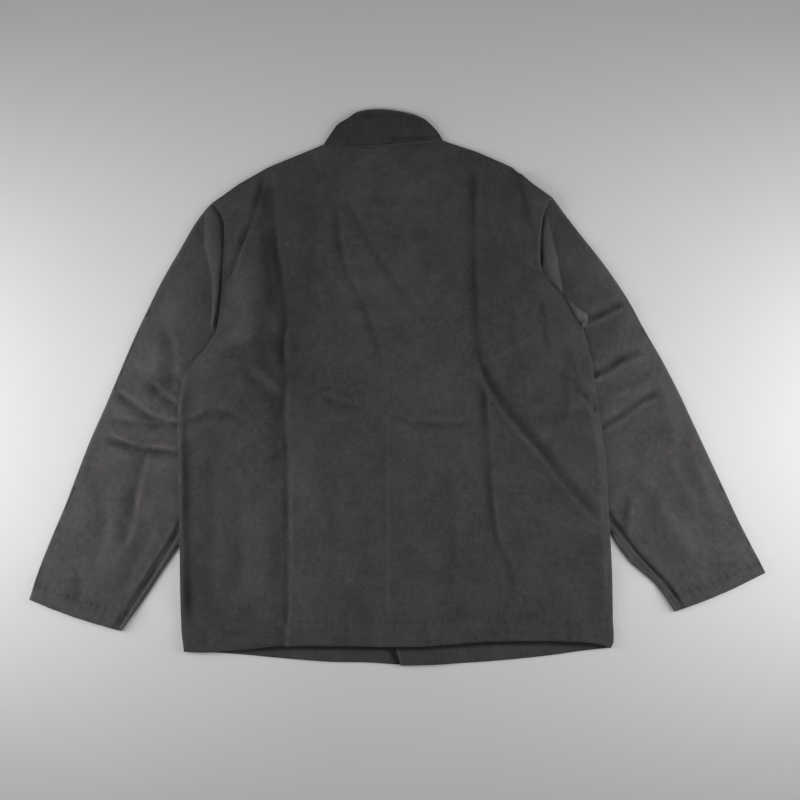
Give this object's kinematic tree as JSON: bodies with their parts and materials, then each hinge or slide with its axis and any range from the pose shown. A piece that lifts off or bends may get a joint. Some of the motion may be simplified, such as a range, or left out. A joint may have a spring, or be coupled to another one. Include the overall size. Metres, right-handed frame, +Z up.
{
  "type": "shell jacket",
  "caption": "Stand-collar cotton shell jacket laid flat with its back up, sleeves beside the body and tucked under its edges, fronts overlapped beneath.",
  "frame": {"origin": "on the floor under the centre of the flat jacket's outline", "axes": "+X from the wearer's left sleeve to the right one, +Y towards the collar, +Z up from the floor, out of the jacket's back"},
  "size_m": [1.037, 0.783, 0.0126],
  "materials": {
    "body_cloth": "washed charcoal cotton, dense, brushed and matte",
    "sleeve_cloth": "the same charcoal cotton, slightly lighter towards the cuffs",
    "collar_cloth": "the same charcoal cotton, two layers, matte",
    "button": "near-black resin, satin"
  },
  "bodies": {
    "root": {"back": "body_cloth", "front_left": "body_cloth", "front_right": "body_cloth", "sleeve_left": "sleeve_cloth", "sleeve_right": "sleeve_cloth", "collar": "collar_cloth", "button_1": "button", "button_2": "button", "button_3": "button", "button_4": "button", "button_5": "button"}
  },
  "joints": []
}
